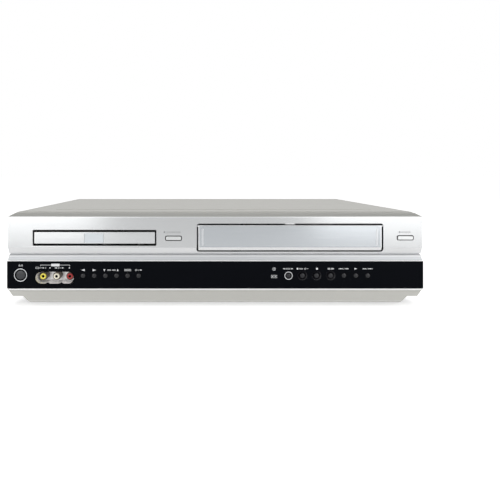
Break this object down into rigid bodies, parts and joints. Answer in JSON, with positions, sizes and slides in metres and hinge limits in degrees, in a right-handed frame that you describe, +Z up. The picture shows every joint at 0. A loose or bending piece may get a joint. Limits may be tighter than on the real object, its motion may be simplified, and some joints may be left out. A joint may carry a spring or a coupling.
{
  "type": "disc and cassette combo player",
  "caption": "Full-width silver disc player and video cassette recorder in one slim case, with a disc tray, a cassette flap and a black control strip.",
  "frame": {"origin": "middle of the footprint, at the underside of the feet", "axes": "+X to the right seen from the front, +Y to the rear, +Z up"},
  "size_m": [0.43, 0.265, 0.0975],
  "materials": {
    "cover_paint": "smooth satin silver-grey paint",
    "plain_steel": "plain galvanised sheet",
    "bezel_silver": "silver lacquer on moulded plastic",
    "window_black": "glossy smoked black",
    "recess_grey": "pale grey moulded",
    "yellow_plastic": "yellow moulded",
    "white_plastic": "white moulded",
    "red_plastic": "red moulded",
    "ring_silver": "bright turned ring",
    "ring_white": "white moulded ring",
    "door_silver": "silver lacquer, finely brushed",
    "button_silver": "silver moulded",
    "tray_grey": "dark moulded",
    "black_plastic": "black moulded",
    "bright_steel": "bright",
    "core_steel": "varnished laminations",
    "screw_steel": "zinc plated",
    "aluminium": "turned",
    "rubber": "black rubber",
    "board": "brown laminate with parts",
    "display_glass": "dark glass"
  },
  "bodies": {
    "chassis": {"top_cover": "cover_paint", "chassis_base": "plain_steel", "rear_panel": "plain_steel", "front_bezel": "bezel_silver", "control_window": "window_black", "av_jack_plate": "recess_grey", "jack_yellow": "yellow_plastic", "jack_white": "white_plastic", "jack_red": "red_plastic", "power_ring": "ring_silver", "selector_ring": "ring_white", "loader_frame": "black_plastic", "spindle_motor": "bright_steel", "guide_rods": "bright_steel", "sled_motor": "bright_steel", "deck_plate": "plain_steel", "deck_sides": "plain_steel", "drum_base": "aluminium", "front_board": "board", "display_tube": "display_glass", "main_board": "board", "power_board": "board", "transformer": "core_steel", "rear_jacks": "black_plastic", "tuner_module": "bright_steel", "mains_inlet": "black_plastic", "feet": "rubber", "cover_screws": "screw_steel"},
    "tray": {"disc_door": "door_silver", "disc_tray": "tray_grey"},
    "tray_gear": {"tray_gear": "white_plastic"},
    "turntable": {"turntable": "black_plastic"},
    "disc_clamp": {"disc_clamp": "white_plastic"},
    "pickup_sled": {"pickup_sled": "black_plastic"},
    "lead_screw": {"lead_screw": "bright_steel"},
    "cassette_door": {"cassette_door": "door_silver"},
    "carrier_slides": {"carrier_slides": "plain_steel"},
    "cassette_carrier": {"cassette_carrier": "plain_steel"},
    "supply_reel": {"supply_reel": "black_plastic"},
    "takeup_reel": {"takeup_reel": "black_plastic"},
    "head_drum": {"head_drum": "aluminium"},
    "flywheel": {"flywheel": "bright_steel"},
    "pinch_arm": {"pinch_arm": "plain_steel"},
    "pinch_roller": {"pinch_roller": "rubber"},
    "power_button": {"power_button": "button_silver"},
    "cursor_left_button": {"cursor_left_button": "button_silver"},
    "cursor_right_button": {"cursor_right_button": "button_silver"},
    "cursor_down_button": {"cursor_down_button": "button_silver"},
    "cursor_up_button": {"cursor_up_button": "button_silver"},
    "menu_button": {"menu_button": "button_silver"},
    "enter_button": {"enter_button": "button_silver"},
    "selector_button": {"selector_button": "button_silver"},
    "record_button": {"record_button": "button_silver"},
    "stop_button": {"stop_button": "button_silver"},
    "pause_button": {"pause_button": "button_silver"},
    "rewind_button": {"rewind_button": "button_silver"},
    "play_button": {"play_button": "button_silver"},
    "forward_button": {"forward_button": "button_silver"},
    "open_close_button": {"open_close_button": "button_silver"},
    "eject_button": {"eject_button": "button_silver"}
  },
  "joints": [
    {"name": "tray_slide", "type": "slide", "parent": "chassis", "child": "tray", "axis": [0, -1, 0], "range_m": [0, 0.138]},
    {"name": "tray_gear_spin", "type": "hinge", "parent": "chassis", "child": "tray_gear", "pos_m": [-0.0798, -0.098, 0.062], "axis": [0, 0, 1], "continuous": true},
    {"name": "cassette_door_hinge", "type": "hinge", "parent": "chassis", "child": "cassette_door", "pos_m": [0.0776, -0.1282, 0.0834], "axis": [1, 0, 0], "range_deg": [0, 85], "stiffness_Nm_per_rad": 0.01},
    {"name": "carrier_slide_in", "type": "slide", "parent": "chassis", "child": "carrier_slides", "axis": [0, 1, 0], "range_m": [0, 0.032]},
    {"name": "carrier_drop", "type": "slide", "parent": "carrier_slides", "child": "cassette_carrier", "axis": [0, 0, -1], "range_m": [0, 0.024]},
    {"name": "power_press", "type": "slide", "parent": "chassis", "child": "power_button", "axis": [0, 1, 0], "range_m": [0, 0.0008], "stiffness_N_per_m": 600},
    {"name": "cursor_left_press", "type": "slide", "parent": "chassis", "child": "cursor_left_button", "axis": [0, 1, 0], "range_m": [0, 0.0008], "stiffness_N_per_m": 600},
    {"name": "cursor_right_press", "type": "slide", "parent": "chassis", "child": "cursor_right_button", "axis": [0, 1, 0], "range_m": [0, 0.0008], "stiffness_N_per_m": 600},
    {"name": "cursor_down_press", "type": "slide", "parent": "chassis", "child": "cursor_down_button", "axis": [0, 1, 0], "range_m": [0, 0.0008], "stiffness_N_per_m": 600},
    {"name": "cursor_up_press", "type": "slide", "parent": "chassis", "child": "cursor_up_button", "axis": [0, 1, 0], "range_m": [0, 0.0008], "stiffness_N_per_m": 600},
    {"name": "menu_press", "type": "slide", "parent": "chassis", "child": "menu_button", "axis": [0, 1, 0], "range_m": [0, 0.0008], "stiffness_N_per_m": 600},
    {"name": "enter_press", "type": "slide", "parent": "chassis", "child": "enter_button", "axis": [0, 1, 0], "range_m": [0, 0.0008], "stiffness_N_per_m": 600},
    {"name": "selector_press", "type": "slide", "parent": "chassis", "child": "selector_button", "axis": [0, 1, 0], "range_m": [0, 0.0008], "stiffness_N_per_m": 600},
    {"name": "record_press", "type": "slide", "parent": "chassis", "child": "record_button", "axis": [0, 1, 0], "range_m": [0, 0.0008], "stiffness_N_per_m": 600},
    {"name": "stop_press", "type": "slide", "parent": "chassis", "child": "stop_button", "axis": [0, 1, 0], "range_m": [0, 0.0008], "stiffness_N_per_m": 600},
    {"name": "pause_press", "type": "slide", "parent": "chassis", "child": "pause_button", "axis": [0, 1, 0], "range_m": [0, 0.0008], "stiffness_N_per_m": 600},
    {"name": "rewind_press", "type": "slide", "parent": "chassis", "child": "rewind_button", "axis": [0, 1, 0], "range_m": [0, 0.0008], "stiffness_N_per_m": 600},
    {"name": "play_press", "type": "slide", "parent": "chassis", "child": "play_button", "axis": [0, 1, 0], "range_m": [0, 0.0008], "stiffness_N_per_m": 600},
    {"name": "forward_press", "type": "slide", "parent": "chassis", "child": "forward_button", "axis": [0, 1, 0], "range_m": [0, 0.0008], "stiffness_N_per_m": 600},
    {"name": "open_close_press", "type": "slide", "parent": "chassis", "child": "open_close_button", "axis": [0, 1, 0], "range_m": [0, 0.0008], "stiffness_N_per_m": 600},
    {"name": "eject_press", "type": "slide", "parent": "chassis", "child": "eject_button", "axis": [0, 1, 0], "range_m": [0, 0.0008], "stiffness_N_per_m": 600},
    {"name": "turntable_spin", "type": "hinge", "parent": "chassis", "child": "turntable", "pos_m": [-0.1248, -0.058, 0.06], "axis": [0, 0, 1], "continuous": true},
    {"name": "disc_clamp_spin", "type": "hinge", "parent": "chassis", "child": "disc_clamp", "pos_m": [-0.1248, -0.058, 0.078], "axis": [0, 0, 1], "continuous": true},
    {"name": "pickup_slide", "type": "slide", "parent": "chassis", "child": "pickup_sled", "axis": [0, 1, 0], "range_m": [0, 0.034]},
    {"name": "lead_screw_spin", "type": "hinge", "parent": "chassis", "child": "lead_screw", "pos_m": [-0.0908, -0.02, 0.056], "axis": [0, 1, 0], "continuous": true},
    {"name": "head_drum_spin", "type": "hinge", "parent": "chassis", "child": "head_drum", "pos_m": [0.0776, 0.067, 0.0275], "axis": [0, -0.0958, 0.9954], "continuous": true},
    {"name": "capstan_spin", "type": "hinge", "parent": "chassis", "child": "flywheel", "pos_m": [0.1226, 0.042, 0.02], "axis": [0, 0, 1], "continuous": true},
    {"name": "supply_reel_spin", "type": "hinge", "parent": "chassis", "child": "supply_reel", "pos_m": [0.0316, -0.022, 0.03], "axis": [0, 0, 1], "continuous": true},
    {"name": "takeup_reel_spin", "type": "hinge", "parent": "chassis", "child": "takeup_reel", "pos_m": [0.1236, -0.022, 0.03], "axis": [0, 0, 1], "continuous": true},
    {"name": "pinch_arm_swing", "type": "hinge", "parent": "chassis", "child": "pinch_arm", "pos_m": [0.1313, 0.066, 0.034], "axis": [0, 0, 1], "range_deg": [-25, 0]},
    {"name": "pinch_roller_spin", "type": "hinge", "parent": "pinch_arm", "child": "pinch_roller", "pos_m": [0.14144, 0.04425, 0.042], "axis": [0, 0, 1], "continuous": true}
  ],
  "couplings": [
    {"joint": "tray_gear_spin", "follows": "tray_slide", "rad_per_m": -100},
    {"joint": "lead_screw_spin", "follows": "pickup_slide", "rad_per_m": 2094.4}
  ]
}
